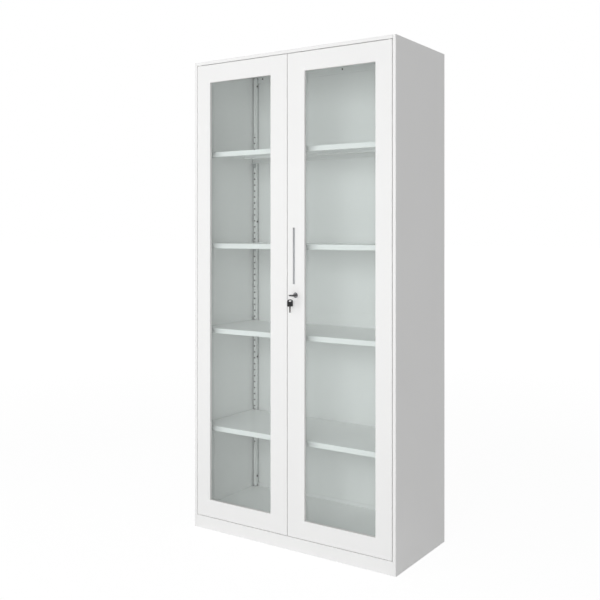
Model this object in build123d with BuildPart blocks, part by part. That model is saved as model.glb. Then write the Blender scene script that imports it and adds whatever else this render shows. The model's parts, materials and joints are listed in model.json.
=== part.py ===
"""Two-door glazed storage cabinet of folded sheet steel, in millimetres.

The origin is on the floor, in the middle of the width, in the plane of the door fronts.
X runs to the right, Y runs back into the cabinet and Z runs up.
"""

import os
from math import copysign

from build123d import *

os.makedirs("parts", exist_ok=True)

# Overall size and sheet
WIDTH = 900.0
DEPTH = 400.0
HEIGHT = 1850.0
SHEET = 1.0
BEND_RADIUS = 1.5
SEAM = 0.2

# Front border, plinth and the rebate that the doors close into
BORDER = 12.5
PLINTH_HEIGHT = 49.0
DOOR_GAP = 2.5
MEETING_GAP = 3.0
STOP_WIDTH = 12.5
BUFFER_THICKNESS = 3.7
BUFFER_CLEARANCE = 0.3
BUFFER_RADIUS = 4.0
BUFFER_INSET = 60.0

# Folds of the carcass panels
REAR_RETURN = 17.0
TOP_REAR_FLANGE = 26.0
DECK_HEIGHT = 66.0
DECK_REAR_FLANGE = 15.0
PLINTH_FOOT = 20.0
PLINTH_LEDGE = 16.0
PLINTH_FLANGE = 5.0
TAB_HEIGHT = 20.0
TAB_INSET = 60.0
BACK_RETURN = 12.0
BACK_GROUND_GAP = 5.0

# Slotted uprights and their fixings
UPRIGHT_WIDTH = 15.9
UPRIGHT_GAP = 3.0
UPRIGHT_DEPTH = 15.0
SLOT_PITCH = 26.0
SLOT_WIDTH = 9.0
SLOT_HEIGHT = 5.0
SLOT_MARGIN = 262.0
RIVET_HOLE_RADIUS = 2.0
RIVET_HOLE_OFFSET = 11.0
COLUMN_SCREW_RISE = 45.0
COLUMN_SCREW_DROP = 38.0
COLUMN_SCREW_PITCH = 590.0
UPPER_COLUMN_SCREWS = 3
FLANGE_SCREW_DROP = 7.0
FLANGE_SCREW_INSET = 45.0

# Shelves and their clips
SHELF_COUNT = 4
LOWEST_SHELF_DROP = 1
SHELF_LIP = 20.0
SHELF_HEM = 12.0
SHELF_SIDE_GAP = 2.0
SHELF_END_GAP = 0.5
SHELF_ABOVE_SLOT = 10.0
STIFFENER_WIDTH = 26.0
STIFFENER_FOOT = 8.0
STIFFENER_DROP = 17.0
STIFFENER_INSET = 105.0
STIFFENER_SETBACK = 205.0
CLIP_SHEET = 1.2
CLIP_WIDTH = 15.0
CLIP_RISE = 6.0
CLIP_DROP = 25.0
CLIP_TAB = 13.0
CLIP_GUSSET = 10.4
CLIP_HOOK = 6.0
SEAT_GAP = 0.2
TONGUE_CLEARANCE = 0.8

# Doors
DOOR_DEPTH = 20.0
DOOR_LIP = 15.0
HINGE_STILE = 64.0
MEETING_STILE = 75.0
TOP_RAIL = 70.0
BOTTOM_RAIL = 67.0
WINDOW_RETURN = 11.0
GLASS_FLANGE = 20.0
DOOR_EDGE_RADIUS = 1.2
WINDOW_EDGE_RADIUS = 0.8

# Glazing
GLASS_THICKNESS = 4.0
GLASS_OVERLAP = 9.0
GLASS_CORNER = 1.0
GASKET_THICKNESS = 1.0
GASKET_INSET = 1.0
GLASS_CLIP_LENGTH = 16.0
GLASS_CLIP_REACH = 6.0
GLASS_CLIP_GAP = 0.2
CLIPS_PER_STILE = 3
CLIPS_PER_RAIL = 2
STILE_CLIP_PITCH = 600.0
RAIL_CLIP_PITCH = 150.0

# Pivot hinges
PIVOT_FROM_EDGE = 10.0
PIVOT_SETBACK = 6.5
PIN_RADIUS = 3.0
PIN_CLEARANCE = 0.05
PIN_ENGAGEMENT = 12.0
PIN_HEAD_RADIUS = 4.3
PIN_HEAD = 2.0
BUSH_RADIUS = 4.5
BUSH_LENGTH = 15.0
BUSH_FLANGE_RADIUS = 5.2
BUSH_FLANGE_GAP = 0.3
FIT_CLEARANCE = 0.1

# Bolts of the left door
BOLT_RADIUS = 4.0
BOLT_FROM_EDGE = 27.0
BOLT_SETBACK = 9.5
BOLT_LENGTH = 110.0
BOLT_TRAVEL = 12.0
BOLT_TIP_INSET = 0.5
BOLT_CHAMFER = 1.0
BOLT_KEEP_CLEARANCE = 1.0
KNOB_RADIUS = 3.0
KNOB_REACH = 15.0
GUIDE_WIDTH = 20.0
GUIDE_HEIGHT = 50.0
GUIDE_INSET = 50.0
GUIDE_WALL = 2.0

# Recessed pull
PULL_X = 30.0
PULL_Z = 1087.5
PULL_SLOT_WIDTH = 10.0
PULL_SLOT_LENGTH = 208.0
PULL_UNDERCUT = 6.0
PULL_DEPTH = 10.0
PULL_WALL = 1.2
PULL_FLANGE = 4.0

# Cam lock
LOCK_X = 37.5
LOCK_Z = 943.0
LOCK_FACE_RADIUS = 10.0
LOCK_FACE = 3.0
BARREL_RADIUS = 8.0
PLUG_RADIUS = 6.25
PLUG_PROUD = 0.2
NUT_ACROSS_FLATS = 22.0
NUT_THICKNESS = 4.0
CAM_THICKNESS = 2.0
CAM_WIDTH = 14.0
CAM_BOSS_RADIUS = 8.4
CAM_OVERLAP = 10.5
CAM_GAP = 0.5
SQUARE = 7.0

# Keys and ring
HEAD_WIDTH = 24.0
HEAD_LENGTH = 26.0
HEAD_THICKNESS = 4.0
HEAD_FAR_CORNER = 9.0
HEAD_NEAR_CORNER = 2.5
BOW_RIM = 3.4
BOW_SLOT_WIDTH = 12.0
BOW_SLOT_HEIGHT = 4.6
BOW_SLOT_CORNER = 2.0
BOW_SLOT_CHAMFER = 1.0
BLADE_WIDTH = 7.0
BLADE_THICKNESS = 2.0
BLADE_LENGTH = 22.0
TANG_LENGTH = 4.0
TANG_CLEARANCE = 0.05
KEYWAY_CLEARANCE = 0.2
KEY_SHOULDER = 4.0
BIT_DEPTH = 1.6
BIT_PITCH = 4.0
BIT_COUNT = 4
RING_RADIUS = 12.0
RING_SIDE = 6.2
RING_DROP = 6.6
RING_WIRE_RADIUS = 0.8
RING_WIRE_SIDES = 6
SPARE_KEY_TWIST = 20.0
RING_PLAY = 0.4

# Screws
SCREW_HEAD_RADIUS = 3.6
SCREW_HEAD = 2.2
SCREW_HEAD_SIDES = 8
SCREW_HEAD_TAPER = 20.0
SCREW_SIDES = 6
SCREW_RADIUS = 1.7
COLUMN_SCREW_LENGTH = 8.0
CAM_SCREW_LENGTH = 4.0
SCREW_HOLE_CLEARANCE = 0.2

# Places worked out from the sizes above
half_width = WIDTH / 2
rebate = DOOR_DEPTH + BUFFER_CLEARANCE + BUFFER_THICKNESS
border_inside = half_width - BORDER
stop_inside = border_inside - STOP_WIDTH
ceiling = HEIGHT - SHEET
wall_inside = half_width - SHEET
back_front = DEPTH - SHEET
upright_outside = wall_inside - UPRIGHT_GAP
upright_inside = upright_outside - UPRIGHT_WIDTH
upright_middle = upright_outside - UPRIGHT_WIDTH / 2
front_web = rebate + SHEET + UPRIGHT_DEPTH
rear_web = back_front - UPRIGHT_DEPTH
plinth_shoulder = PLINTH_HEIGHT - SHEET / 2 - BEND_RADIUS
plinth_end = half_width - PLINTH_FLANGE
shelf_front = front_web + SEAM + CLIP_SHEET + SHELF_END_GAP
shelf_rear = rear_web - SEAM - CLIP_SHEET - SHELF_END_GAP
shelf_side = wall_inside - SHELF_SIDE_GAP
slot_count = int((HEIGHT - 2 * SLOT_MARGIN) // SLOT_PITCH) + 1
slot_heights = [SLOT_MARGIN + SLOT_PITCH * n for n in range(slot_count)]
screw_hole_radius = SCREW_RADIUS + SCREW_HOLE_CLEARANCE


def shelf_slot(number):
    """Slot that carries a shelf, numbered from the top: even spacing, at the nearest slot."""
    even = ceiling - (ceiling - DECK_HEIGHT) * number / (SHELF_COUNT + 1)
    slot = round((even - SHELF_ABOVE_SLOT - SLOT_MARGIN) / SLOT_PITCH)
    if number == SHELF_COUNT:
        slot -= LOWEST_SHELF_DROP
    return slot_heights[slot]


def grow(area, by):
    """Area on the front, given by its left, bottom, right and top, larger by a margin all round."""
    x0, z0, x1, z1 = area
    return (x0 - by, z0 - by, x1 + by, z1 + by)


door = (
    MEETING_GAP / 2,
    PLINTH_HEIGHT + DOOR_GAP,
    border_inside - DOOR_GAP,
    HEIGHT - BORDER - DOOR_GAP,
)
window = (
    door[0] + MEETING_STILE,
    door[1] + BOTTOM_RAIL,
    door[2] - HINGE_STILE,
    door[3] - TOP_RAIL,
)
window_x = (window[0] + window[2]) / 2
window_z = (window[1] + window[3]) / 2
pivot_x = door[2] - PIVOT_FROM_EDGE
bolt_x = -(door[0] + BOLT_FROM_EDGE)
glass_front = WINDOW_RETURN + GASKET_THICKNESS
glass_back = glass_front + GLASS_THICKNESS
glass_clip_foot = GLASS_OVERLAP + SHEET
glass_screw_out = (glass_clip_foot + CLIP_SHEET + GLASS_FLANGE) / 2
column_screw_y = rear_web + UPRIGHT_DEPTH / 2


def at_depth(y):
    """Plane parallel to the front at the given depth, with X to the right and Z up."""
    return Plane.XZ.offset(-y)


def fill(area, mode=Mode.ADD):
    """Rectangle in the sketch that is being drawn."""
    x0, z0, x1, z1 = area
    with Locations(((x0 + x1) / 2, (z0 + z1) / 2)):
        Rectangle(x1 - x0, z1 - z0, mode=mode)


def plate(area, front, back, hole=None):
    """Flat plate parallel to the front, with an optional rectangular hole."""
    with BuildSketch(at_depth(front)) as outline:
        fill(area)
        if hole:
            fill(hole, Mode.SUBTRACT)
    extrude(outline.sketch, amount=front - back)


def block(x0, x1, y0, y1, z0, z1, mode=Mode.ADD):
    """Rectangular piece of sheet between the given coordinates."""
    with Locations(((x0 + x1) / 2, (y0 + y1) / 2, (z0 + z1) / 2)):
        Box(x1 - x0, y1 - y0, z1 - z0, mode=mode)


def folded(plane, points, amount, both=False):
    """Sheet folded along the given middle line and extruded square to its plane."""
    with BuildSketch(plane) as section:
        with BuildLine():
            FilletPolyline(*points, radius=BEND_RADIUS)
        trace(line_width=SHEET)
    extrude(section.sketch, amount=amount, both=both)


def drill(planes, radius, depth):
    """Round holes through the sheet at each plane's origin, both ways along its axis."""
    with Locations(*planes):
        Cylinder(radius, 2 * depth, mode=Mode.SUBTRACT)


def punch(planes, radius, depth):
    """Small screw and rivet holes at each plane's origin, with as few sides as the screws."""
    with BuildSketch(*planes) as holes:
        RegularPolygon(radius, SCREW_SIDES, major_radius=False)
    extrude(holes.sketch, amount=depth, both=True, mode=Mode.SUBTRACT)


def facing(x, y, z, normal):
    """Plane at a point whose axis points along the given normal."""
    return Plane(origin=(x, y, z), z_dir=normal)


def mirrored(part):
    """The same piece for the other side of the cabinet."""
    return mirror(part, about=Plane.YZ)


def save(part, name):
    """Label a finished piece and write it to its own file."""
    part.label = name
    export_step(part, f"parts/{name}.step")


def pan_screw(length):
    """Pan-head screw along Z, seated at the origin with its head above it."""
    with BuildPart() as screw:
        with BuildSketch(Plane.XY):
            RegularPolygon(SCREW_HEAD_RADIUS, SCREW_HEAD_SIDES)
        extrude(amount=SCREW_HEAD, taper=SCREW_HEAD_TAPER)
        with BuildSketch(Plane.XY):
            RegularPolygon(SCREW_RADIUS, SCREW_SIDES)
        extrude(amount=-length)
    return screw.part


# Screw, pin and bolt places that several pieces share
pivot_planes = [
    facing(pivot_x, PIVOT_SETBACK, door[3], (0, 0, 1)),
    facing(pivot_x, PIVOT_SETBACK, door[1], (0, 0, -1)),
]
column_screw_heights = [DECK_HEIGHT + COLUMN_SCREW_RISE] + [
    ceiling - COLUMN_SCREW_DROP - COLUMN_SCREW_PITCH * n for n in range(UPPER_COLUMN_SCREWS)
]
column_screw_planes = [
    facing(upright_inside, column_screw_y, z, (-1, 0, 0)) for z in column_screw_heights
]
top_flange_front = back_front - SEAM - SHEET
flange_screw_planes = [
    facing(x, top_flange_front, ceiling - FLANGE_SCREW_DROP, (0, -1, 0))
    for x in (FLANGE_SCREW_INSET - half_width, 0, half_width - FLANGE_SCREW_INSET)
]
lock_front = Plane(origin=(LOCK_X, 0, LOCK_Z), x_dir=(1, 0, 0), z_dir=(0, -1, 0))


# Side panels: one sheet from the door stop, round the front border, to the rear return.
# Beside the plinth's face, the border is notched to a narrow flange.
with BuildPart() as right_side_panel:
    folded(
        Plane.XY,
        [
            (stop_inside, rebate + SHEET / 2),
            (border_inside + SHEET / 2, rebate + SHEET / 2),
            (border_inside + SHEET / 2, SHEET / 2),
            (half_width - SHEET / 2, SHEET / 2),
            (half_width - SHEET / 2, DEPTH - SHEET / 2),
            (half_width - REAR_RETURN, DEPTH - SHEET / 2),
        ],
        ceiling,
    )
    block(
        stop_inside - SHEET,
        plinth_end,
        -SHEET,
        rebate + 2 * SHEET,
        0,
        plinth_shoulder,
        mode=Mode.SUBTRACT,
    )
save(right_side_panel.part, "right_side_panel")
save(mirrored(right_side_panel.part), "left_side_panel")

# Top panel: lid, front border with its door stop, rear flange and side tabs
hem_z = HEIGHT - BORDER + SHEET / 2
with BuildPart() as top_panel:
    block(-half_width, half_width, 0, DEPTH, ceiling, HEIGHT)
    block(
        SEAM - border_inside,
        border_inside - SEAM,
        0,
        BORDER / 2,
        ceiling,
        HEIGHT,
        mode=Mode.SUBTRACT,
    )
    folded(
        Plane.YZ,
        [
            (rebate - BEND_RADIUS, hem_z),
            (SHEET / 2, hem_z),
            (SHEET / 2, HEIGHT - SHEET / 2),
            (BORDER, HEIGHT - SHEET / 2),
        ],
        border_inside - SEAM,
        both=True,
    )
    folded(
        Plane.YZ,
        [
            (BORDER / 2, hem_z),
            (rebate + SHEET / 2, hem_z),
            (rebate + SHEET / 2, hem_z - SHEET / 2 - STOP_WIDTH),
        ],
        stop_inside - SEAM,
        both=True,
    )
    for side in (-1, 1):
        block(
            side * (wall_inside - SEAM - SHEET / 2) - SHEET / 2,
            side * (wall_inside - SEAM - SHEET / 2) + SHEET / 2,
            TAB_INSET,
            DEPTH - TAB_INSET,
            ceiling - TAB_HEIGHT,
            ceiling,
        )
    block(
        SEAM - upright_inside,
        upright_inside - SEAM,
        top_flange_front,
        top_flange_front + SHEET,
        HEIGHT - TOP_REAR_FLANGE,
        ceiling,
    )
    punch(flange_screw_planes, screw_hole_radius, 2 * SHEET)
    for side in (-1, 1):
        drill(
            [facing(side * pivot_x, PIVOT_SETBACK, hem_z, (0, 0, 1))],
            PIN_RADIUS + FIT_CLEARANCE,
            SHEET,
        )
    drill(
        [facing(bolt_x, BOLT_SETBACK, hem_z, (0, 0, 1))],
        BOLT_RADIUS + BOLT_KEEP_CLEARANCE,
        SHEET,
    )
save(top_panel.part, "top_panel")

# Bottom panel: deck, front lip that stops the doors, rear flange and side tabs
with BuildPart() as bottom_panel:
    with BuildSketch(Plane.XY.offset(DECK_HEIGHT - SHEET)):
        with Locations((0, (rebate + SHEET + back_front) / 2)):
            RectangleRounded(
                2 * (wall_inside - SEAM),
                back_front - rebate - SHEET - 2 * SEAM,
                BEND_RADIUS,
            )
    extrude(amount=SHEET)
    folded(
        Plane.YZ,
        [
            (rebate + SHEET / 2, PLINTH_HEIGHT),
            (rebate + SHEET / 2, DECK_HEIGHT - SHEET / 2),
            (rebate + PLINTH_LEDGE, DECK_HEIGHT - SHEET / 2),
        ],
        stop_inside - SEAM,
        both=True,
    )
    for side in (-1, 1):
        block(
            side * (wall_inside - SEAM - SHEET / 2) - SHEET / 2,
            side * (wall_inside - SEAM - SHEET / 2) + SHEET / 2,
            TAB_INSET,
            DEPTH - TAB_INSET,
            DECK_HEIGHT - TAB_HEIGHT,
            DECK_HEIGHT,
        )
    block(
        SEAM - upright_inside,
        upright_inside - SEAM,
        top_flange_front,
        top_flange_front + SHEET,
        DECK_HEIGHT,
        DECK_HEIGHT + DECK_REAR_FLANGE,
    )
save(bottom_panel.part, "bottom_panel")

# Plinth: foot on the floor, face under the doors and ledge under the deck's front lip
with BuildPart() as plinth:
    folded(
        Plane.YZ,
        [
            (PLINTH_FOOT, SHEET / 2),
            (SHEET / 2, SHEET / 2),
            (SHEET / 2, plinth_shoulder - SEAM),
        ],
        plinth_end,
        both=True,
    )
    folded(
        Plane.YZ,
        [
            (SHEET / 2, PLINTH_HEIGHT / 2),
            (SHEET / 2, PLINTH_HEIGHT - SHEET / 2),
            (rebate - BEND_RADIUS, PLINTH_HEIGHT - SHEET / 2),
        ],
        border_inside - SEAM,
        both=True,
    )
    block(
        SEAM - stop_inside,
        stop_inside - SEAM,
        rebate - 2 * BEND_RADIUS,
        rebate + PLINTH_LEDGE,
        PLINTH_HEIGHT - SHEET,
        PLINTH_HEIGHT,
    )
    for side in (-1, 1):
        block(
            side * (plinth_end - SHEET / 2) - SHEET / 2,
            side * (plinth_end - SHEET / 2) + SHEET / 2,
            SHEET / 2,
            PLINTH_FOOT,
            SHEET / 2,
            plinth_shoulder - SEAM,
        )
        drill(
            [facing(side * pivot_x, PIVOT_SETBACK, PLINTH_HEIGHT, (0, 0, 1))],
            PIN_RADIUS + FIT_CLEARANCE,
            2 * SHEET,
        )
    drill(
        [facing(bolt_x, BOLT_SETBACK, PLINTH_HEIGHT, (0, 0, 1))],
        BOLT_RADIUS + BOLT_KEEP_CLEARANCE,
        2 * SHEET,
    )
save(plinth.part, "plinth")

# Back panel: its forward returns sit inside the rear uprights and are screwed to them
back_return_x = upright_inside + SHEET + SEAM + SHEET / 2
with BuildPart() as back_panel:
    folded(
        Plane.XY.offset(BACK_GROUND_GAP),
        [
            (-back_return_x, DEPTH - BACK_RETURN),
            (-back_return_x, DEPTH - SHEET / 2),
            (back_return_x, DEPTH - SHEET / 2),
            (back_return_x, DEPTH - BACK_RETURN),
        ],
        ceiling - SEAM - BACK_GROUND_GAP,
    )
    block(
        -half_width,
        half_width,
        0,
        back_front,
        0,
        DECK_HEIGHT + SEAM,
        mode=Mode.SUBTRACT,
    )
    for side in (-1, 1):
        punch(
            [facing(side * back_return_x, column_screw_y, z, (1, 0, 0)) for z in column_screw_heights],
            screw_hole_radius,
            SHEET,
        )
    punch(flange_screw_planes, screw_hole_radius, 4 * SHEET)
save(back_panel.part, "back_panel")


def upright(web, flange_end):
    """Slotted channel in a right-hand corner, with flanges from the web's depth to the given depth."""
    web_line = web + copysign(SHEET / 2, flange_end - web)
    with BuildPart() as channel:
        folded(
            Plane.XY.offset(DECK_HEIGHT + SEAM),
            [
                (upright_outside - SHEET / 2, flange_end),
                (upright_outside - SHEET / 2, web_line),
                (upright_inside + SHEET / 2, web_line),
                (upright_inside + SHEET / 2, flange_end),
            ],
            ceiling - DECK_HEIGHT - 2 * SEAM,
        )
        with BuildSketch(at_depth(web_line)):
            with Locations(*[(upright_middle, z) for z in slot_heights]):
                Rectangle(SLOT_WIDTH, SLOT_HEIGHT)
            rivet_ends = (slot_heights[0] - RIVET_HOLE_OFFSET, slot_heights[-1] + RIVET_HOLE_OFFSET)
            rivet_middle = (slot_heights[0] + slot_heights[-1]) / 2
            with Locations(*[(upright_middle, z) for z in (*rivet_ends, rivet_middle)]):
                RegularPolygon(RIVET_HOLE_RADIUS, SCREW_SIDES)
        extrude(amount=SHEET, both=True, mode=Mode.SUBTRACT)
    return channel.part


# Front uprights stand on the door stops, rear uprights take the back panel's screws
front_right_upright = upright(front_web, rebate + SHEET + SEAM)
save(front_right_upright, "front_right_upright")
save(mirrored(front_right_upright), "front_left_upright")

with BuildPart() as rear_right_upright:
    add(upright(rear_web, back_front - BEND_RADIUS))
    punch(column_screw_planes, screw_hole_radius, 2 * SHEET)
save(rear_right_upright.part, "rear_right_upright")
save(mirrored(rear_right_upright.part), "rear_left_upright")

# Screws of the back panel and of the top flange
with BuildPart() as right_column_screws:
    with Locations(*column_screw_planes):
        add(pan_screw(COLUMN_SCREW_LENGTH))
with BuildPart() as column_screws:
    add(right_column_screws.part)
    mirror(right_column_screws.part, about=Plane.YZ)
save(column_screws.part, "column_screws")

with BuildPart() as flange_screws:
    with Locations(*flange_screw_planes):
        add(pan_screw(2 * SHEET + SEAM))
save(flange_screws.part, "flange_screws")

# Rubber buffers between the door lips and their stops, near the meeting edges
buffer_heights = (
    door[1] + DOOR_LIP / 2,
    HEIGHT - BORDER - STOP_WIDTH / 2,
)
with BuildPart() as door_buffers:
    with Locations(
        *[
            facing(x, rebate, z, (0, -1, 0))
            for x in (-BUFFER_INSET, BUFFER_INSET)
            for z in buffer_heights
        ]
    ):
        Cylinder(
            BUFFER_RADIUS,
            BUFFER_THICKNESS,
            align=(Align.CENTER, Align.CENTER, Align.MIN),
        )
save(door_buffers.part, "door_buffers")


def shelf_clip():
    """Bent clip for a right-hand front slot: two hooks through the web and a tab under the shelf.

    The clip is drawn at its upper slot, with the web's face at Y = 0 and the shelf towards +Y.
    """
    tab_top = SHELF_ABOVE_SLOT - SHELF_LIP - SEAT_GAP
    tongue_height = SLOT_HEIGHT - 2 * TONGUE_CLEARANCE
    hook_back = -SHEET - 2 * SEAM - CLIP_SHEET
    with BuildPart() as clip:
        with BuildSketch(Plane.YZ):
            with Locations((SEAM + CLIP_SHEET / 2, (CLIP_RISE - CLIP_DROP) / 2)):
                Rectangle(CLIP_SHEET, CLIP_RISE + CLIP_DROP)
            with Locations((SEAM + CLIP_TAB / 2, tab_top - CLIP_SHEET / 2)):
                Rectangle(CLIP_TAB, CLIP_SHEET)
        extrude(amount=CLIP_WIDTH / 2, both=True)
        with BuildSketch(Plane.YZ):
            with BuildLine():
                Polyline(
                    (SEAM, tab_top - CLIP_SHEET),
                    (SEAM + CLIP_GUSSET, tab_top - CLIP_SHEET),
                    (SEAM, tab_top - CLIP_SHEET - CLIP_GUSSET),
                    close=True,
                )
            make_face()
        extrude(amount=CLIP_SHEET / 2, both=True)
        for slot in (0, -SLOT_PITCH):
            with BuildSketch(Plane.YZ):
                with Locations((hook_back / 2 + SEAM / 2 + CLIP_SHEET / 4, slot)):
                    Rectangle(SEAM - hook_back + CLIP_SHEET / 2, tongue_height)
                with Locations((hook_back + CLIP_SHEET / 2, slot - CLIP_HOOK / 2)):
                    Rectangle(CLIP_SHEET, CLIP_HOOK)
            extrude(amount=SLOT_WIDTH / 2 - TONGUE_CLEARANCE, both=True)
    return clip.part


def hat_stiffener():
    """Hat section under the middle of a shelf, drawn with the shelf's top at Z = 0."""
    foot_z = -SHEET - SHEET / 2
    crown_z = -SHEET - STIFFENER_DROP + SHEET / 2
    near = STIFFENER_SETBACK - STIFFENER_WIDTH / 2
    far = STIFFENER_SETBACK + STIFFENER_WIDTH / 2
    with BuildPart() as hat:
        folded(
            Plane.YZ,
            [
                (near - STIFFENER_FOOT, foot_z),
                (near, foot_z),
                (near, crown_z),
                (far, crown_z),
                (far, foot_z),
                (far + STIFFENER_FOOT, foot_z),
            ],
            half_width - STIFFENER_INSET,
            both=True,
        )
    return hat.part


def shelf():
    """Shelf with hemmed front and rear lips and plain end lips, drawn with its top at Z = 0."""
    hem_line = SHEET / 2 - SHELF_LIP
    with BuildPart() as tray:
        folded(
            Plane.YZ,
            [
                (shelf_front + SHELF_HEM, hem_line),
                (shelf_front + SHEET / 2, hem_line),
                (shelf_front + SHEET / 2, -SHEET / 2),
                (shelf_rear - SHEET / 2, -SHEET / 2),
                (shelf_rear - SHEET / 2, hem_line),
                (shelf_rear - SHELF_HEM, hem_line),
            ],
            shelf_side,
            both=True,
        )
        for side in (-1, 1):
            block(
                side * (shelf_side - SHEET / 2) - SHEET / 2,
                side * (shelf_side - SHEET / 2) + SHEET / 2,
                shelf_front + SHELF_HEM + SHEET,
                shelf_rear - SHELF_HEM - SHEET,
                -SHELF_LIP,
                -SHEET / 2,
            )
    return tray.part


# Shelves, stiffeners and clips, numbered from the top
clip_part = shelf_clip()
for number in range(1, SHELF_COUNT + 1):
    slot_z = shelf_slot(number)
    shelf_plane = Plane.XY.offset(slot_z + SHELF_ABOVE_SLOT)
    with BuildPart() as shelf_tray:
        with Locations(shelf_plane):
            add(shelf())
    save(shelf_tray.part, f"shelf_{number}")
    with BuildPart() as shelf_stiffener:
        with Locations(shelf_plane):
            add(hat_stiffener())
    save(shelf_stiffener.part, f"shelf_{number}_stiffener")
    with BuildPart() as shelf_clips:
        for side in (-1, 1):
            with Locations(Location((side * upright_middle, front_web, slot_z))):
                add(clip_part)
            with Locations(Location((side * upright_middle, rear_web, slot_z), (0, 0, 180))):
                add(clip_part)
    save(shelf_clips.part, f"shelf_{number}_clips")


def glass_clip_planes():
    """Places of the glass clips round the right-hand window: X points away from the opening."""
    planes = []
    for n in range(CLIPS_PER_STILE):
        z = window_z + (n - (CLIPS_PER_STILE - 1) / 2) * STILE_CLIP_PITCH
        planes.append(Plane(origin=(window[2], 0, z), x_dir=(1, 0, 0), z_dir=(0, 0, 1)))
        planes.append(Plane(origin=(window[0], 0, z), x_dir=(-1, 0, 0), z_dir=(0, 0, -1)))
    for n in range(CLIPS_PER_RAIL):
        x = window_x + (n - (CLIPS_PER_RAIL - 1) / 2) * RAIL_CLIP_PITCH
        planes.append(Plane(origin=(x, 0, window[3]), x_dir=(0, 0, 1), z_dir=(-1, 0, 0)))
        planes.append(Plane(origin=(x, 0, window[1]), x_dir=(0, 0, -1), z_dir=(1, 0, 0)))
    return planes


clip_planes = glass_clip_planes()
glass_screw_planes = [
    Plane(
        origin=plane.from_local_coords((glass_screw_out, WINDOW_RETURN + CLIP_SHEET, 0)),
        z_dir=(0, 1, 0),
    )
    for plane in clip_planes
]


def door_frame():
    """Right-hand door folded from one sheet: skin, edges, rear lip, window return and glass flange."""
    with BuildPart() as frame:
        plate(door, 0, DOOR_DEPTH, hole=grow(door, -SHEET))
        plate(door, 0, SHEET, hole=window)
        front_face = frame.faces().sort_by(Axis.Y)[0]
        fillet(front_face.outer_wire().edges(), DOOR_EDGE_RADIUS)
        plate(door, DOOR_DEPTH - SHEET, DOOR_DEPTH, hole=grow(door, -DOOR_LIP))
        plate(grow(window, SHEET), 0, WINDOW_RETURN, hole=window)
        plate(grow(window, GLASS_FLANGE), WINDOW_RETURN - SHEET, WINDOW_RETURN, hole=window)
        front_face = frame.faces().sort_by(Axis.Y)[0]
        fillet(front_face.inner_wires().edges(), WINDOW_EDGE_RADIUS)
        drill(pivot_planes, BUSH_RADIUS + FIT_CLEARANCE, 2 * SHEET)
        punch(glass_screw_planes, screw_hole_radius, CLIP_SHEET + 2 * SHEET)
    return frame.part


# Door frames: the right one takes the pull and the lock, the left one the bolts
door_blank = door_frame()
pull_slot = (
    PULL_X - PULL_SLOT_WIDTH / 2,
    PULL_Z - PULL_SLOT_LENGTH / 2,
    PULL_X + PULL_SLOT_WIDTH / 2,
    PULL_Z + PULL_SLOT_LENGTH / 2,
)
with BuildPart() as right_door_frame:
    add(door_blank)
    with BuildSketch(at_depth(0)):
        fill(pull_slot)
    extrude(amount=-2 * SHEET, mode=Mode.SUBTRACT)
    drill([lock_front], BARREL_RADIUS + FIT_CLEARANCE, 2 * SHEET)
save(right_door_frame.part, "right_door_frame")

bolt_planes = [
    facing(bolt_x, BOLT_SETBACK, door[3], (0, 0, 1)),
    facing(bolt_x, BOLT_SETBACK, door[1], (0, 0, -1)),
]
with BuildPart() as left_door_frame:
    mirror(door_blank, about=Plane.YZ)
    drill(bolt_planes, BOLT_RADIUS + FIT_CLEARANCE, 2 * SHEET)
save(left_door_frame.part, "left_door_frame")

# Glass panes and the gaskets in front of them
with BuildPart() as right_door_glass:
    plate(grow(window, GLASS_OVERLAP), glass_front, glass_back)
    chamfer(right_door_glass.edges().filter_by(Axis.Y), GLASS_CORNER)
save(right_door_glass.part, "right_door_glass")
save(mirrored(right_door_glass.part), "left_door_glass")

with BuildPart() as right_glass_gasket:
    plate(
        grow(window, GLASS_OVERLAP),
        WINDOW_RETURN,
        glass_front,
        hole=grow(window, GASKET_INSET),
    )
save(right_glass_gasket.part, "right_glass_gasket")
save(mirrored(right_glass_gasket.part), "left_glass_gasket")

# Glass clips: a foot screwed to the flange, a riser and a tongue behind the pane
tongue_line = glass_back + GLASS_CLIP_GAP + CLIP_SHEET / 2
with BuildPart() as glass_clip:
    with BuildSketch(Plane.XY):
        with BuildLine():
            Polyline(
                (GLASS_FLANGE - SHEET / 2, WINDOW_RETURN + CLIP_SHEET / 2),
                (glass_clip_foot + CLIP_SHEET / 2, WINDOW_RETURN + CLIP_SHEET / 2),
                (glass_clip_foot + CLIP_SHEET / 2, tongue_line),
                (GLASS_OVERLAP - GLASS_CLIP_REACH, tongue_line),
            )
        trace(line_width=CLIP_SHEET)
    extrude(amount=GLASS_CLIP_LENGTH / 2, both=True)
    punch(
        [facing(glass_screw_out, WINDOW_RETURN + CLIP_SHEET, 0, (0, 1, 0))],
        screw_hole_radius,
        2 * CLIP_SHEET,
    )
with BuildPart() as right_glass_clips:
    with Locations(*clip_planes):
        add(glass_clip.part)
save(right_glass_clips.part, "right_glass_clips")
save(mirrored(right_glass_clips.part), "left_glass_clips")

with BuildPart() as right_glass_screws:
    with Locations(*glass_screw_planes):
        add(pan_screw(CLIP_SHEET + 2 * SHEET))
save(right_glass_screws.part, "right_glass_screws")
save(mirrored(right_glass_screws.part), "left_glass_screws")

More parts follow.
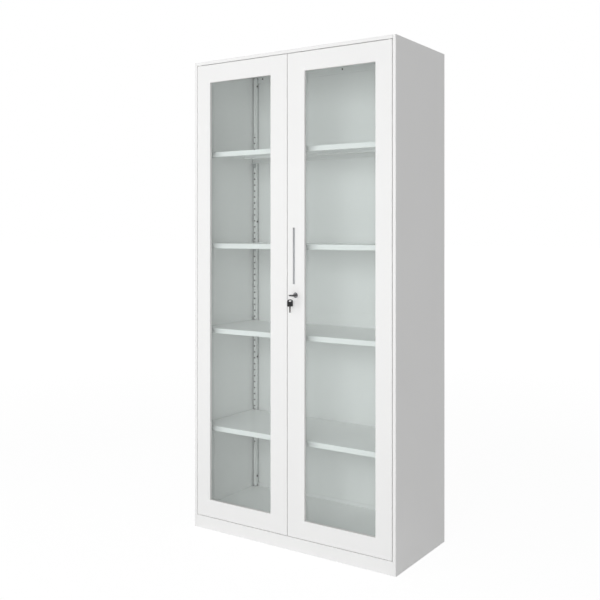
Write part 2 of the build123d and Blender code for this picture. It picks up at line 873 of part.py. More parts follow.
# Hinge pins, with their heads behind the sheet of the top border and of the plinth
with BuildPart() as pivot_pin:
    with BuildSketch(Plane.XZ):
        with BuildLine():
            Polyline(
                (0, DOOR_GAP + SHEET + PIN_HEAD),
                (PIN_HEAD_RADIUS, DOOR_GAP + SHEET + PIN_HEAD),
                (PIN_HEAD_RADIUS, DOOR_GAP + SHEET),
                (PIN_RADIUS, DOOR_GAP + SHEET),
                (PIN_RADIUS, -PIN_ENGAGEMENT),
                (0, -PIN_ENGAGEMENT),
                close=True,
            )
        make_face()
    revolve(axis=Axis.Z)
with BuildPart() as right_hinge_pins:
    with Locations(*pivot_planes):
        add(pivot_pin.part)
save(right_hinge_pins.part, "right_hinge_pins")
save(mirrored(right_hinge_pins.part), "left_hinge_pins")

# Nylon bushes in the door edges, with flanges that space the doors from the border and the plinth
bush_flange = DOOR_GAP - BUSH_FLANGE_GAP
with BuildPart() as pivot_bush:
    with BuildSketch(Plane.XZ):
        with BuildLine():
            Polyline(
                (PIN_RADIUS + PIN_CLEARANCE, bush_flange),
                (BUSH_FLANGE_RADIUS, bush_flange),
                (BUSH_FLANGE_RADIUS, 0),
                (BUSH_RADIUS, 0),
                (BUSH_RADIUS, -BUSH_LENGTH),
                (PIN_RADIUS + PIN_CLEARANCE, -BUSH_LENGTH),
                close=True,
            )
        make_face()
    revolve(axis=Axis.Z)
with BuildPart() as right_hinge_bushes:
    with Locations(*pivot_planes):
        add(pivot_bush.part)
save(right_hinge_bushes.part, "right_hinge_bushes")
save(mirrored(right_hinge_bushes.part), "left_hinge_bushes")

# Bolts of the left door, drawn back at rest, with a knob through the guide's slot
knob_drop = GUIDE_INSET + GUIDE_HEIGHT / 2
with BuildPart() as door_bolt:
    with Locations((0, 0, -BOLT_TIP_INSET)):
        Cylinder(BOLT_RADIUS, BOLT_LENGTH, align=(Align.CENTER, Align.CENTER, Align.MAX))
    chamfer(door_bolt.faces().sort_by(Axis.Z)[-1].edges(), BOLT_CHAMFER)
    with Locations(Location((0, 0, -knob_drop - BOLT_TRAVEL / 2), (-90, 0, 0))):
        Cylinder(KNOB_RADIUS, KNOB_REACH, align=(Align.CENTER, Align.CENTER, Align.MIN))
guide_front = SHEET - BOLT_SETBACK
guide_back = BOLT_RADIUS + GUIDE_WALL
with BuildPart() as bolt_guide:
    block(
        -GUIDE_WIDTH / 2,
        GUIDE_WIDTH / 2,
        guide_front,
        guide_back,
        -GUIDE_INSET - GUIDE_HEIGHT,
        -GUIDE_INSET,
    )
    with Locations((0, 0, -knob_drop)):
        Cylinder(BOLT_RADIUS + PIN_CLEARANCE, 2 * GUIDE_HEIGHT, mode=Mode.SUBTRACT)
    with BuildSketch(Plane.XZ):
        with Locations((0, -knob_drop)):
            SlotCenterToCenter(BOLT_TRAVEL, 2 * (KNOB_RADIUS + FIT_CLEARANCE), rotation=90)
    extrude(amount=-2 * guide_back, mode=Mode.SUBTRACT)
upper_bolt_place = Location((bolt_x, BOLT_SETBACK, door[3]))
lower_bolt_place = Plane(
    origin=(bolt_x, BOLT_SETBACK, door[1]), x_dir=(-1, 0, 0), z_dir=(0, 0, -1)
).location
with BuildPart() as left_upper_bolt:
    with Locations(upper_bolt_place):
        add(door_bolt.part)
save(left_upper_bolt.part, "left_upper_bolt")
with BuildPart() as left_lower_bolt:
    with Locations(lower_bolt_place):
        add(door_bolt.part)
save(left_lower_bolt.part, "left_lower_bolt")
with BuildPart() as left_bolt_guides:
    with Locations(upper_bolt_place, lower_bolt_place):
        add(bolt_guide.part)
save(left_bolt_guides.part, "left_bolt_guides")

# Recessed pull: a cup behind the slot, undercut on the hinge side for the fingertips
pull_cavity = (pull_slot[0], pull_slot[1], pull_slot[2] + PULL_UNDERCUT, pull_slot[3])
with BuildPart() as pull_handle:
    plate(grow(pull_cavity, PULL_FLANGE), SHEET, SHEET + PULL_WALL, hole=pull_cavity)
    plate(grow(pull_cavity, PULL_WALL), SHEET, SHEET + PULL_DEPTH, hole=pull_cavity)
    plate(grow(pull_cavity, PULL_WALL), SHEET + PULL_DEPTH, SHEET + PULL_DEPTH + PULL_WALL)
    fillet(pull_handle.edges().filter_by(Axis.Z).group_by(Axis.Y)[-1], PULL_WALL)
save(pull_handle.part, "pull_handle")

# Lock body with its face on the door, as long as the door is deep, and the nut behind the sheet
with BuildPart() as lock_body:
    with BuildSketch(Plane.XZ):
        with BuildLine():
            Polyline(
                (PLUG_RADIUS + PIN_CLEARANCE, LOCK_FACE),
                (LOCK_FACE_RADIUS - LOCK_FACE / 2, LOCK_FACE),
                (LOCK_FACE_RADIUS, LOCK_FACE / 2),
                (LOCK_FACE_RADIUS, 0),
                (BARREL_RADIUS, 0),
                (BARREL_RADIUS, -DOOR_DEPTH),
                (PLUG_RADIUS + PIN_CLEARANCE, -DOOR_DEPTH),
                close=True,
            )
        make_face()
    revolve(axis=Axis.Z)
save(lock_front.location * lock_body.part, "lock_body")

with BuildPart() as lock_nut:
    with BuildSketch(Plane.XY.offset(-SHEET)):
        RegularPolygon(NUT_ACROSS_FLATS / 2, 6, major_radius=False)
        Circle(BARREL_RADIUS + FIT_CLEARANCE, mode=Mode.SUBTRACT)
    extrude(amount=-NUT_THICKNESS)
save(lock_front.location * lock_nut.part, "lock_nut")

# Lock plug with its keyway, its square tail and the cam screwed to it
plug_back = -DOOR_DEPTH - CAM_GAP / 2
cam_front = -DOOR_DEPTH - CAM_GAP
cam_back = cam_front - CAM_THICKNESS
cam_reach = LOCK_X + CAM_OVERLAP
key_front = LOCK_FACE + KEY_SHOULDER
keyway_end = key_front - BLADE_LENGTH - 2 * KEYWAY_CLEARANCE
with BuildPart() as lock_plug:
    with Locations((0, 0, LOCK_FACE + PLUG_PROUD)):
        Cylinder(
            PLUG_RADIUS,
            LOCK_FACE + PLUG_PROUD - plug_back,
            align=(Align.CENTER, Align.CENTER, Align.MAX),
        )
    with BuildSketch(Plane.XY.offset(plug_back)):
        Rectangle(SQUARE, SQUARE)
    extrude(amount=cam_back - plug_back)
    with BuildSketch(Plane.XY.offset(LOCK_FACE + PLUG_PROUD)):
        Rectangle(BLADE_WIDTH + 2 * KEYWAY_CLEARANCE, BLADE_THICKNESS + 2 * KEYWAY_CLEARANCE)
    extrude(amount=keyway_end - LOCK_FACE - PLUG_PROUD, mode=Mode.SUBTRACT)
    with Locations((0, 0, cam_back)):
        Cylinder(SCREW_RADIUS + PIN_CLEARANCE, 2 * CAM_SCREW_LENGTH, mode=Mode.SUBTRACT)
save(lock_front.location * lock_plug.part, "lock_plug")

with BuildPart() as lock_cam:
    with BuildSketch(Plane.XY.offset(cam_front)):
        with Locations((0, cam_reach / 2 - CAM_WIDTH / 4)):
            SlotOverall(cam_reach + CAM_WIDTH / 2, CAM_WIDTH, rotation=90)
        Circle(CAM_BOSS_RADIUS)
        Rectangle(SQUARE + 2 * FIT_CLEARANCE, SQUARE + 2 * FIT_CLEARANCE, mode=Mode.SUBTRACT)
    extrude(amount=-CAM_THICKNESS)
save(lock_front.location * lock_cam.part, "lock_cam")

cam_screw_seat = Plane(origin=(0, 0, cam_back - SEAM), z_dir=(0, 0, -1))
save(lock_front.location * cam_screw_seat.location * pan_screw(CAM_SCREW_LENGTH), "cam_screw")


bow_slot_z = HEAD_LENGTH - BOW_RIM - BOW_SLOT_HEIGHT / 2


def key_head():
    """Moulded key head along Z, with its inner end at Z = 0 and its arched bow at the far end."""
    with BuildPart() as head:
        with BuildSketch(Plane.XZ) as outline:
            with Locations((0, HEAD_LENGTH / 2)):
                Rectangle(HEAD_WIDTH, HEAD_LENGTH)
            fillet(outline.vertices().group_by(Axis.Y)[-1], HEAD_FAR_CORNER)
            fillet(outline.vertices().group_by(Axis.Y)[0], HEAD_NEAR_CORNER)
            with Locations((0, bow_slot_z)):
                RectangleRounded(BOW_SLOT_WIDTH, BOW_SLOT_HEIGHT, BOW_SLOT_CORNER, mode=Mode.SUBTRACT)
        extrude(amount=HEAD_THICKNESS / 2, both=True)
        flat_faces = head.faces().filter_by(Axis.Y)
        slot_edges = [edge for face in flat_faces for wire in face.inner_wires() for edge in wire.edges()]
        chamfer(slot_edges, BOW_SLOT_CHAMFER)
        with BuildSketch(Plane.XZ):
            with Locations((0, TANG_LENGTH / 2)):
                Rectangle(BLADE_WIDTH + 2 * TANG_CLEARANCE, TANG_LENGTH + 2 * TANG_CLEARANCE)
        extrude(
            amount=BLADE_THICKNESS / 2 + TANG_CLEARANCE,
            both=True,
            mode=Mode.SUBTRACT,
        )
    return head.part


def key_blade():
    """Cut key blade along -Z, with its tang in the head above Z = 0."""
    with BuildPart() as blade:
        with BuildSketch(Plane.XZ):
            with Locations((0, (TANG_LENGTH - BLADE_LENGTH) / 2)):
                Rectangle(BLADE_WIDTH, TANG_LENGTH + BLADE_LENGTH)
            for bit in range(BIT_COUNT):
                bit_z = -BLADE_LENGTH + BIT_PITCH * (bit + 1)
                with BuildLine():
                    Polyline(
                        (BLADE_WIDTH / 2, bit_z - BIT_PITCH / 2),
                        (BLADE_WIDTH / 2 - BIT_DEPTH, bit_z),
                        (BLADE_WIDTH / 2, bit_z + BIT_PITCH / 2),
                        close=True,
                    )
                make_face(mode=Mode.SUBTRACT)
        extrude(amount=BLADE_THICKNESS / 2, both=True)
    return blade.part


# Key in the lock, with its bow level
lock_key_place = lock_front.location * Location((0, 0, key_front))
save(lock_key_place * key_head(), "key_head")
save(lock_key_place * key_blade(), "key_blade")

# Ring through the key's bow: it goes round one side of the bow, and the key has room to turn in it
ring_y = -(key_front + bow_slot_z)
ring_x = LOCK_X - RING_SIDE
ring_z = LOCK_Z - RING_DROP
with BuildPart() as key_ring:
    with BuildSketch(Plane.XZ):
        with Locations((RING_RADIUS, 0)):
            RegularPolygon(RING_WIRE_RADIUS, RING_WIRE_SIDES)
    revolve(axis=Axis.Z)
ring_plane = facing(ring_x, ring_y, ring_z, (0, -1, 0))
save(ring_plane.location * key_ring.part, "key_ring")

# Spare key, hanging from the bottom of the ring and twisted a little to the front
spare_slot_top = ring_z - RING_RADIUS + RING_WIRE_RADIUS + RING_PLAY
spare_place = Location(
    (ring_x, ring_y, spare_slot_top - (HEAD_LENGTH - BOW_RIM)),
    (0, 0, 90 - SPARE_KEY_TWIST),
)
save(spare_place * key_head(), "spare_key_head")
save(spare_place * key_blade(), "spare_key_blade")
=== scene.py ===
"""Looks of the glazed two-door storage cabinet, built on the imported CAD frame, in metres."""

import json
import math

import bmesh
import bpy
from mathutils import Matrix, Vector


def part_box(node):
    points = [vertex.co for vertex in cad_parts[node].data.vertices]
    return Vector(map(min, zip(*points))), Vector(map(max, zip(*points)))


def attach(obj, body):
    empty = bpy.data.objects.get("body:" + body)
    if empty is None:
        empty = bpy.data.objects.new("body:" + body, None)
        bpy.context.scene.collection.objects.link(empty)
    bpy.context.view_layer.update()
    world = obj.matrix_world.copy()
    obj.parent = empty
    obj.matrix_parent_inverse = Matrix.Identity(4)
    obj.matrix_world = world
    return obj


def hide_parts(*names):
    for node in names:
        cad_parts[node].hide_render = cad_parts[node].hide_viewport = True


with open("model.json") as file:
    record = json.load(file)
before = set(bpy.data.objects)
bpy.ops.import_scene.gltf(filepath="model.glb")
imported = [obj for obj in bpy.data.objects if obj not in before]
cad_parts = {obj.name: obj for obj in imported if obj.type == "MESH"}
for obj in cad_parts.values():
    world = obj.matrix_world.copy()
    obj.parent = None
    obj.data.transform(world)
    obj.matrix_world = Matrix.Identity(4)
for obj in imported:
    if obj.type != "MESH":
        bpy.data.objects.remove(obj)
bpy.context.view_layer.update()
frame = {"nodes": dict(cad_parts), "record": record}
nodes = frame["nodes"]
slot_of = {part["node"]: part["material_slot"] for part in frame["record"]["subparts"]}
scene = bpy.context.scene

# Photograph: a level camera with a vertical shift, in a square picture
PICTURE = 600
FOCAL_PIXELS = 846.0
HORIZON_ROW = 232.1
CAMERA_PLACE = (1.786, -2.573, 1.1751)
CAMERA_YAW = 33.9
SENSOR = 36.0

# Light: the world's share and the softboxes, each with its place, width, height and watts
AMBIENT = 0.40
SOFTBOXES = {
    "front": ((0.8, -4.0, 1.8), 2.4, 1.8, 55.0),
    "left": ((-2.3, -3.9, 1.6), 1.8, 1.8, 47.0),
    "right": ((3.6, -1.8, 1.7), 2.4, 2.4, 4.0),
}
LIGHT_TARGET = (0.0, 0.2, 0.95)
# Diffuse bounces, enough for light to even out inside a white box
BOUNCES = 10

# Panes: the tint of what is seen through one, and the share of lamp light that each face takes away
GLASS_TINT = (0.87, 0.94, 0.925, 1.0)
PANE_LOSS = 0.04

# Powder coat: the two tones between which it drifts
COAT_DARK = (0.905, 0.905, 0.90)
COAT_LIGHT = (0.92, 0.92, 0.915)

# Sheets of the slotted columns that get painted shade, the size of the crevices it fills, the samples that
# find them, and the dark tone painted there as shade
COLUMNS = (
    "front_left_upright",
    "front_right_upright",
    "rear_left_upright",
    "rear_right_upright",
    "back_panel",
)
CREVICE = 0.016
CREVICE_SAMPLES = 8
# Dark tone painted into the crevices as shade
CREVICE_SHADE_TONE = (0.10, 0.10, 0.10)

# Floor: the share of glow in what the camera sees near the object, which rises to 1 between two distances;
# the strength makes up for the part that doesn't glow, so that the floor is white outside the shadow
FLOOR_SIZE = 120.0
FLOOR_TONE = (0.90, 0.90, 0.90, 1.0)
FLOOR_GLOW = 0.90
GLOW_STRENGTH = 1.045
GLOW_NEAR = 2.0
GLOW_FAR = 9.0

# Corners nearer than this are one corner: those of a node's mesh, and those of a carved screw
WELD = 1e-6
SCREW_WELD = 5e-6

# Screws: sides of the turned shape and steps of the head's rounding
SCREW_SIDES = 28
ARC_STEPS = 6
# Shares of the head's radius
HEAD_ROUNDING = 0.42
RECESS_REACH = 0.58
RECESS_TIP = 0.24
RECESS_WIDTH = 0.17
RECESS_DEPTH = 0.42
# Share of the head's height, and share of the shank's radius
HEAD_CROWN = 0.06
POINT_LENGTH = 0.6
# Turn from each screw to the next, so that no two cross recesses line up
GOLDEN_TURN = math.pi * (3 - math.sqrt(5))

# Split ring: its two turns cross over in a short stretch, where the wire's two ends also are
RING_TURNS = 2
RING_CROSSING = 0.2
RING_POINTS = 90
WIRE_STEPS = 4

# Rounding of the moulded edges
HEAD_EDGE = 0.0006
PULL_EDGE = 0.0004
EDGE_ANGLE = math.radians(35.0)
EDGE_STEPS = 3
FLAT_ANGLE = math.radians(1.0)

# Most of a noise texture's values lie between these two
NOISE_LOW = 0.3
NOISE_HIGH = 0.7

# Sockets of a mix node for colours: the tone at 0, the tone at 1 and the result
MIX_AT_ZERO = 6
MIX_AT_ONE = 7
MIX_RESULT = 2


class Shader:
    """A material whose principled shader is fed by noise in the object's own coordinates."""

    def __init__(self, name):
        self.material = bpy.data.materials.new(name)
        self.material.use_nodes = True
        self.tree = self.material.node_tree
        self.bsdf = self.tree.nodes["Principled BSDF"]
        self.place = self.node("ShaderNodeTexCoord").outputs["Object"]

    def node(self, kind, **settings):
        made = self.tree.nodes.new(kind)
        for key, value in settings.items():
            setattr(made, key, value)
        return made

    def link(self, source, target):
        self.tree.links.new(source, target)

    def set(self, **values):
        """Constant inputs of the principled shader; underscores stand for spaces."""
        for key, value in values.items():
            self.bsdf.inputs[key.replace("_", " ")].default_value = value

    def noise(self, scale, detail=2.0, stretch=None):
        """Noise output; stretch scales the coordinates along X, Y and Z."""
        made = self.node("ShaderNodeTexNoise")
        made.inputs["Scale"].default_value = scale
        made.inputs["Detail"].default_value = detail
        if stretch:
            mapping = self.node("ShaderNodeMapping")
            mapping.inputs["Scale"].default_value = stretch
            self.link(self.place, mapping.inputs["Vector"])
            self.link(mapping.outputs["Vector"], made.inputs["Vector"])
        else:
            self.link(self.place, made.inputs["Vector"])
        return made.outputs["Fac"]

    def ramp(self, value, low, high):
        """Number between low and high, from a value between NOISE_LOW and NOISE_HIGH."""
        made = self.node("ShaderNodeMapRange")
        made.inputs["From Min"].default_value = NOISE_LOW
        made.inputs["From Max"].default_value = NOISE_HIGH
        made.inputs["To Min"].default_value = low
        made.inputs["To Max"].default_value = high
        self.link(value, made.inputs["Value"])
        return made.outputs["Result"]

    def colour(self, value, dark, light):
        """Base colour that drifts between two tones with a noise value."""
        made = self.node("ShaderNodeValToRGB")
        made.color_ramp.elements[0].position = NOISE_LOW
        made.color_ramp.elements[0].color = (*dark, 1.0)
        made.color_ramp.elements[1].position = NOISE_HIGH
        made.color_ramp.elements[1].color = (*light, 1.0)
        self.link(value, made.inputs["Fac"])
        self.link(made.outputs["Color"], self.bsdf.inputs["Base Color"])

    def paint_crevice_shade(self, shade_tone, reach):
        """Painted shade: turn the base colour to a dark tone where other faces stand within reach, as
        ambient occlusion does.
        """
        base = self.bsdf.inputs["Base Color"]
        coat = base.links[0].from_socket
        # Painted shade: ambient occlusion mixes the coat towards the dark tone where faces stand close
        openness = self.node("ShaderNodeAmbientOcclusion", samples=CREVICE_SAMPLES)
        openness.inputs["Distance"].default_value = reach
        mix = self.node("ShaderNodeMix", data_type="RGBA")
        self.link(self.ramp(openness.outputs["AO"], 0.0, 1.0), mix.inputs["Factor"])
        mix.inputs[MIX_AT_ZERO].default_value = (*shade_tone, 1.0)
        self.link(coat, mix.inputs[MIX_AT_ONE])
        self.link(mix.outputs[MIX_RESULT], base)

    def roughness(self, value, low, high):
        self.link(self.ramp(value, low, high), self.bsdf.inputs["Roughness"])

    def bump(self, value, strength, distance):
        made = self.node("ShaderNodeBump")
        made.inputs["Strength"].default_value = strength
        made.inputs["Distance"].default_value = distance
        self.link(value, made.inputs["Height"])
        self.link(made.outputs["Normal"], self.bsdf.inputs["Normal"])


def powder_coat(name, reach=0.0):
    """White satin powder coat with a fine orange peel; with a reach, shade is painted into its crevices of
    that size as a dark tone.
    """
    paint = Shader(name)
    paint.colour(paint.noise(scale=2.5), COAT_DARK, COAT_LIGHT)
    if reach:
        # Painted shade in crevices
        paint.paint_crevice_shade(CREVICE_SHADE_TONE, reach)
    paint.roughness(paint.noise(scale=40.0), low=0.34, high=0.44)
    paint.bump(paint.noise(scale=900.0), strength=0.12, distance=0.0002)
    paint.set(IOR=1.5)
    return paint.material


def float_glass():
    """Clear pane that lets lamp light and bounced light through, with faint wipe marks in its gloss."""
    glass = Shader("float_glass")
    glass.set(Transmission_Weight=1.0, IOR=1.5, Base_Color=GLASS_TINT)
    wiped = glass.noise(scale=6.0, detail=4.0, stretch=(1.0, 1.0, 0.25))
    glass.roughness(wiped, low=0.0, high=0.004)
    path = glass.node("ShaderNodeLightPath")
    passing = glass.node("ShaderNodeMath", operation="MAXIMUM")
    glass.link(path.outputs["Is Shadow Ray"], passing.inputs[0])
    glass.link(path.outputs["Is Diffuse Ray"], passing.inputs[1])
    solid = glass.node("ShaderNodeMapRange")
    solid.inputs["To Min"].default_value = 1.0
    solid.inputs["To Max"].default_value = PANE_LOSS
    glass.link(passing.outputs["Value"], solid.inputs["Value"])
    glass.link(solid.outputs["Result"], glass.bsdf.inputs["Alpha"])
    return glass.material


def plated(name, dark, light, rough, grain=(1.0, 1.0, 1.0)):
    """Plated steel with a fine grain in its gloss."""
    steel = Shader(name)
    steel.set(Metallic=1.0)
    steel.colour(steel.noise(scale=60.0), dark, light)
    fine = steel.noise(scale=700.0, detail=3.0, stretch=grain)
    steel.roughness(fine, low=rough - 0.06, high=rough + 0.08)
    steel.bump(fine, strength=0.08, distance=0.0001)
    return steel.material


def moulded(name, dark, light, rough):
    """Moulded plastic or rubber with a fine matt texture."""
    plastic = Shader(name)
    plastic.colour(plastic.noise(scale=30.0), dark, light)
    plastic.roughness(plastic.noise(scale=200.0), low=rough - 0.05, high=rough + 0.07)
    plastic.bump(plastic.noise(scale=1500.0), strength=0.15, distance=0.0001)
    return plastic.material


materials = {
    "white_paint": powder_coat("white_powder_coat"),
    "glass": float_glass(),
    "zinc": plated("bright_zinc", dark=(0.60, 0.61, 0.62), light=(0.72, 0.73, 0.74), rough=0.32),
    "screw_black": plated(
        "black_zinc",
        dark=(0.020, 0.020, 0.022),
        light=(0.045, 0.045, 0.048),
        rough=0.38,
    ),
    "lock_chrome": plated("lock_chrome", dark=(0.22, 0.22, 0.23), light=(0.30, 0.30, 0.31), rough=0.18),
    "key_steel": plated(
        "key_nickel",
        dark=(0.24, 0.235, 0.23),
        light=(0.34, 0.33, 0.32),
        rough=0.24,
        grain=(1.0, 1.0, 0.2),
    ),
    "key_black": moulded(
        "black_key_plastic",
        dark=(0.012, 0.012, 0.013),
        light=(0.022, 0.022, 0.024),
        rough=0.42,
    ),
    "nylon": moulded("natural_nylon", dark=(0.74, 0.74, 0.71), light=(0.82, 0.82, 0.79), rough=0.40),
    "pull_grey": moulded(
        "grey_pull_plastic",
        dark=(0.70, 0.71, 0.72),
        light=(0.77, 0.78, 0.79),
        rough=0.38,
    ),
    "rubber": moulded("soft_grey_rubber", dark=(0.07, 0.07, 0.07), light=(0.11, 0.11, 0.11), rough=0.70),
}
# Columns and back panel: powder coat with painted shade in their crevices
coat_with_crevice_shade = powder_coat("columns_painted_shade_coat", CREVICE)
for name, node in nodes.items():
    node.data.materials.clear()
    node.data.materials.append(coat_with_crevice_shade if name in COLUMNS else materials[slot_of[name]])
body_of = {
    name: body for body, members in frame["record"]["behaviour"]["bodies"].items() for name in members
}


def stand_in(piece, name):
    """Put a finished piece in the place of a node: same body, same material slot."""
    scene.collection.objects.link(piece)
    piece.data.materials.clear()
    piece.data.materials.append(materials[slot_of[name]])
    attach(piece, body_of[name])
    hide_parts(name)


def smooth(mesh):
    """Smooth shading up to the angle at which an edge counts as sharp."""
    mesh.shade_smooth()
    mesh.set_sharp_from_angle(angle=EDGE_ANGLE)


def welded(name):
    """Editable copy of a node's mesh with its split corners joined and its flat faces whole."""
    mesh = bmesh.new()
    mesh.from_mesh(nodes[name].data)
    bmesh.ops.remove_doubles(mesh, verts=mesh.verts, dist=WELD)
    bmesh.ops.dissolve_limit(mesh, angle_limit=FLAT_ANGLE, verts=mesh.verts, edges=mesh.edges)
    return mesh


# Screws: turned pan heads with a cross recess, where the frame has plain ones
def loose_parts(name):
    """Corner places of each separate solid in a node."""
    mesh = welded(name)
    parts = []
    for corner in mesh.verts:
        corner.tag = False
    for first in mesh.verts:
        if first.tag:
            continue
        first.tag = True
        reached = [first]
        for corner in reached:
            for edge in corner.link_edges:
                other = edge.other_vert(corner)
                if not other.tag:
                    other.tag = True
                    reached.append(other)
        parts.append([corner.co.copy() for corner in reached])
    mesh.free()
    return parts


class Screw:
    """Seat, direction and sizes of a plain screw, read from its corners; axis is 0, 1 or 2."""

    def __init__(self, corners, axis):
        low = Vector([min(corner[n] for corner in corners) for n in range(3)])
        high = Vector([max(corner[n] for corner in corners) for n in range(3)])
        self.seat = (low + high) / 2
        self.seat[axis] = 0.0

        def radius(corner):
            offset = corner - self.seat
            offset[axis] = 0.0
            return offset.length

        widest = max(corners, key=radius)
        self.head_radius = radius(widest)
        self.seat[axis] = widest[axis]
        above = high[axis] - widest[axis]
        below = widest[axis] - low[axis]
        top_radius = max(radius(corner) for corner in corners if corner[axis] > high[axis] - WELD)
        end_radius = max(radius(corner) for corner in corners if corner[axis] < low[axis] + WELD)
        self.direction = Vector([float(n == axis) for n in range(3)])
        self.head, self.length = above, below
        self.shank_radius = min(top_radius, end_radius)
        if end_radius > top_radius:
            self.direction.negate()
            self.head, self.length = below, above


def lathe(profile):
    """Closed surface of revolution about Z, from its lowest to its highest point on the axis."""
    mesh = bmesh.new()
    turns = [2 * math.pi * n / SCREW_SIDES for n in range(SCREW_SIDES)]
    rings = [
        [mesh.verts.new((radius * math.cos(a), radius * math.sin(a), height)) for a in turns]
        for radius, height in profile[1:-1]
    ]
    bottom = mesh.verts.new((0.0, 0.0, profile[0][1]))
    top = mesh.verts.new((0.0, 0.0, profile[-1][1]))
    for n in range(SCREW_SIDES):
        after = (n + 1) % SCREW_SIDES
        mesh.faces.new((bottom, rings[0][after], rings[0][n]))
        mesh.faces.new((top, rings[-1][n], rings[-1][after]))
        for lower, upper in zip(rings, rings[1:]):
            mesh.faces.new((lower[n], lower[after], upper[after], upper[n]))
    return mesh


def as_mesh(editable, name):
    """Blender mesh of an editable one, which is freed."""
    made = bpy.data.meshes.new(name)
    editable.to_mesh(made)
    editable.free()
    return made


def blade(screw, turn):
    """Half of the cross that the driver fits: a tapered blade across the head."""
    mesh = bmesh.new()
    half = RECESS_WIDTH * screw.head_radius / 2
    top = screw.head * (1 + HEAD_CROWN)
    for reach, height in (
        (RECESS_REACH, top),
        (RECESS_TIP, top - RECESS_DEPTH * screw.head_radius),
    ):
        for side in (-1, 1):
            for end in (-1, 1):
                mesh.verts.new((end * reach * screw.head_radius, side * half, height))
    bmesh.ops.convex_hull(mesh, input=mesh.verts)
    bmesh.ops.rotate(mesh, verts=mesh.verts, matrix=Matrix.Rotation(turn, 3, "Z"))
    return as_mesh(mesh, "blade")


def carved(body, cutters):
    """Mesh of a body from which the cutters are taken away."""
    owner = bpy.data.objects.new("carved", body)
    tools = [bpy.data.objects.new("cutter", cutter) for cutter in cutters]
    for made in (owner, *tools):
        scene.collection.objects.link(made)
    for tool in tools:
        cut = owner.modifiers.new("cut", "BOOLEAN")
        cut.operation = "DIFFERENCE"
        cut.object = tool
    shapes = bpy.context.evaluated_depsgraph_get()
    result = bpy.data.meshes.new_from_object(owner.evaluated_get(shapes))
    for made in (owner, *tools):
        bpy.data.objects.remove(made)
    return result


def pan_head(screw):
    """One screw along Z with its seat at the origin: point, shank, rounded head and cross recess."""
    rounding = HEAD_ROUNDING * screw.head_radius
    point = POINT_LENGTH * screw.shank_radius
    profile = [
        (0.0, -screw.length),
        (screw.shank_radius - point / 2, -screw.length),
        (screw.shank_radius, point - screw.length),
        (screw.shank_radius, 0.0),
        (screw.head_radius, 0.0),
    ]
    for n in range(ARC_STEPS + 1):
        turn = math.pi / 2 * n / ARC_STEPS
        profile.append(
            (
                screw.head_radius - rounding * (1 - math.cos(turn)),
                screw.head - rounding * (1 - math.sin(turn)),
            )
        )
    profile.append((0.0, screw.head * (1 + HEAD_CROWN)))
    return carved(as_mesh(lathe(profile), "turned"), [blade(screw, 0.0), blade(screw, math.pi / 2)])


def detailed_screws(name, axis):
    """Detailed screws in place of a node of plain ones, each turned further than the one before."""
    mesh = bmesh.new()
    for number, corners in enumerate(loose_parts(name)):
        screw = Screw(corners, axis)
        count = len(mesh.verts)
        mesh.from_mesh(pan_head(screw))
        mesh.verts.ensure_lookup_table()
        place = (
            Matrix.Translation(screw.seat)
            @ screw.direction.to_track_quat("Z", "Y").to_matrix().to_4x4()
            @ Matrix.Rotation(number * GOLDEN_TURN, 4, "Z")
        )
        bmesh.ops.transform(mesh, matrix=place, verts=mesh.verts[count:])
    bmesh.ops.remove_doubles(mesh, verts=mesh.verts, dist=SCREW_WELD)
    bmesh.ops.dissolve_degenerate(mesh, edges=mesh.edges, dist=SCREW_WELD)
    made = as_mesh(mesh, f"{name}_cross_head")
    smooth(made)
    stand_in(bpy.data.objects.new(made.name, made), name)


for name, axis in {
    "column_screws": 0,
    "flange_screws": 1,
    "left_glass_screws": 1,
    "right_glass_screws": 1,
    "cam_screw": 1,
}.items():
    detailed_screws(name, axis)


# Split ring
def split_ring(name):
    """Two turns of round wire side by side, in place of a plain ring."""
    low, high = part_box(name)
    middle = (low + high) / 2
    wire = (high.y - low.y) / 4
    radius = (high.x - low.x) / 2 - 2 * wire
    curve = bpy.data.curves.new("split_ring", "CURVE")
    curve.dimensions = "3D"
    curve.bevel_depth = wire
    curve.bevel_resolution = WIRE_STEPS
    curve.use_fill_caps = True
    spline = curve.splines.new("POLY")
    spline.points.add(RING_POINTS - 1)
    first = RING_CROSSING / 2
    for n, point in enumerate(spline.points):
        turn = first + (RING_TURNS - 2 * first) * n / (RING_POINTS - 1)
        share = min(max((turn - 1 + first) / RING_CROSSING, 0.0), 1.0)
        across = wire * (2 * share * share * (3 - 2 * share) - 1)
        angle = 2 * math.pi * turn
        point.co = (
            middle.x + radius * math.cos(angle),
            middle.y + across,
            middle.z + radius * math.sin(angle),
            1.0,
        )
    stand_in(bpy.data.objects.new("split_ring", curve), name)


split_ring("key_ring")


# Moulded pieces with rounded edges
def moulded_edges(name, width):
    """Copy of a node with rounded edges, in its place."""
    made = as_mesh(welded(name), f"{name}_moulding")
    piece = bpy.data.objects.new(made.name, made)
    stand_in(piece, name)
    rounding = piece.modifiers.new("rounded_edges", "BEVEL")
    rounding.width = width
    rounding.segments = EDGE_STEPS
    rounding.limit_method = "ANGLE"
    rounding.angle_limit = EDGE_ANGLE
    smooth(made)


moulded_edges("key_head", HEAD_EDGE)
moulded_edges("spare_key_head", HEAD_EDGE)
moulded_edges("pull_handle", PULL_EDGE)


# Floor and world: white to the camera, and a plain level of light to the object
def seen_directly(tree):
    """One for rays from the camera, also by way of a mirror or a pane, and zero for light."""
    path = tree.nodes.new("ShaderNodeLightPath")
    result = path.outputs["Is Camera Ray"]
    for kind in ("Is Glossy Ray", "Is Transmission Ray"):
        larger = tree.nodes.new("ShaderNodeMath")
        larger.operation = "MAXIMUM"
        tree.links.new(result, larger.inputs[0])
        tree.links.new(path.outputs[kind], larger.inputs[1])
        result = larger.outputs["Value"]
    return result


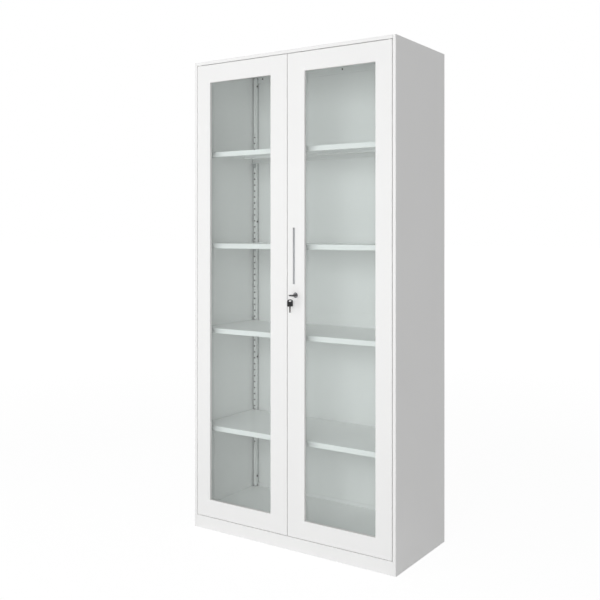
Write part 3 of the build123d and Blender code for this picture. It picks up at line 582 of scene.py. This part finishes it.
def floor_material():
    """Pale floor that keeps the shadow and glows to the camera, and far away is as white as the world."""
    made = bpy.data.materials.new("pale_floor")
    made.use_nodes = True
    tree = made.node_tree
    tree.nodes.clear()
    output = tree.nodes.new("ShaderNodeOutputMaterial")
    diffuse = tree.nodes.new("ShaderNodeBsdfDiffuse")
    diffuse.inputs["Color"].default_value = FLOOR_TONE
    glow = tree.nodes.new("ShaderNodeEmission")
    glow.inputs["Strength"].default_value = GLOW_STRENGTH
    mix = tree.nodes.new("ShaderNodeMixShader")
    place = tree.nodes.new("ShaderNodeTexCoord")
    distance = tree.nodes.new("ShaderNodeVectorMath")
    distance.operation = "LENGTH"
    tree.links.new(place.outputs["Object"], distance.inputs[0])
    fade = tree.nodes.new("ShaderNodeMapRange")
    fade.inputs["From Min"].default_value = GLOW_NEAR
    fade.inputs["From Max"].default_value = GLOW_FAR
    fade.inputs["To Min"].default_value = FLOOR_GLOW
    fade.inputs["To Max"].default_value = 1.0
    tree.links.new(distance.outputs["Value"], fade.inputs["Value"])
    share = tree.nodes.new("ShaderNodeMath")
    share.operation = "MULTIPLY"
    tree.links.new(seen_directly(tree), share.inputs[0])
    tree.links.new(fade.outputs["Result"], share.inputs[1])
    tree.links.new(share.outputs["Value"], mix.inputs["Fac"])
    tree.links.new(diffuse.outputs["BSDF"], mix.inputs[1])
    tree.links.new(glow.outputs["Emission"], mix.inputs[2])
    tree.links.new(mix.outputs["Shader"], output.inputs["Surface"])
    return made


bpy.ops.mesh.primitive_plane_add(size=FLOOR_SIZE, location=(0.0, 0.0, 0.0))
floor = bpy.context.object
floor.name = "floor"
floor.data.materials.append(floor_material())

world = bpy.data.worlds.new("studio")
scene.world = world
world.use_nodes = True
sky = world.node_tree
background = sky.nodes["Background"]
background.inputs["Color"].default_value = (1.0, 1.0, 1.0, 1.0)
level = sky.nodes.new("ShaderNodeMapRange")
level.inputs["To Min"].default_value = AMBIENT
level.inputs["To Max"].default_value = 1.0
sky.links.new(seen_directly(sky), level.inputs["Value"])
sky.links.new(level.outputs["Result"], background.inputs["Strength"])


def softbox(name, place, width, height, watts):
    """Rectangular area lamp that points at the object."""
    data = bpy.data.lights.new(name, "AREA")
    data.shape = "RECTANGLE"
    data.size = width
    data.size_y = height
    data.energy = watts
    lamp = bpy.data.objects.new(name, data)
    lamp.location = place
    lamp.rotation_euler = (Vector(LIGHT_TARGET) - Vector(place)).to_track_quat("-Z", "Y").to_euler()
    lamp.visible_camera = False
    lamp.visible_glossy = False
    lamp.visible_transmission = False
    scene.collection.objects.link(lamp)


for name, (place, width, height, watts) in SOFTBOXES.items():
    softbox(name, place, width, height, watts)

# Camera
lens = bpy.data.cameras.new("camera")
lens.sensor_width = SENSOR
lens.lens = SENSOR * FOCAL_PIXELS / PICTURE
lens.shift_y = (HORIZON_ROW - PICTURE / 2) / PICTURE
camera = bpy.data.objects.new("camera", lens)
camera.location = CAMERA_PLACE
camera.rotation_euler = (math.radians(90.0), 0.0, math.radians(CAMERA_YAW))
scene.collection.objects.link(camera)
scene.camera = camera

scene.view_settings.view_transform = "Standard"
scene.cycles.diffuse_bounces = BOUNCES
scene.cycles.max_bounces = 2 * BOUNCES
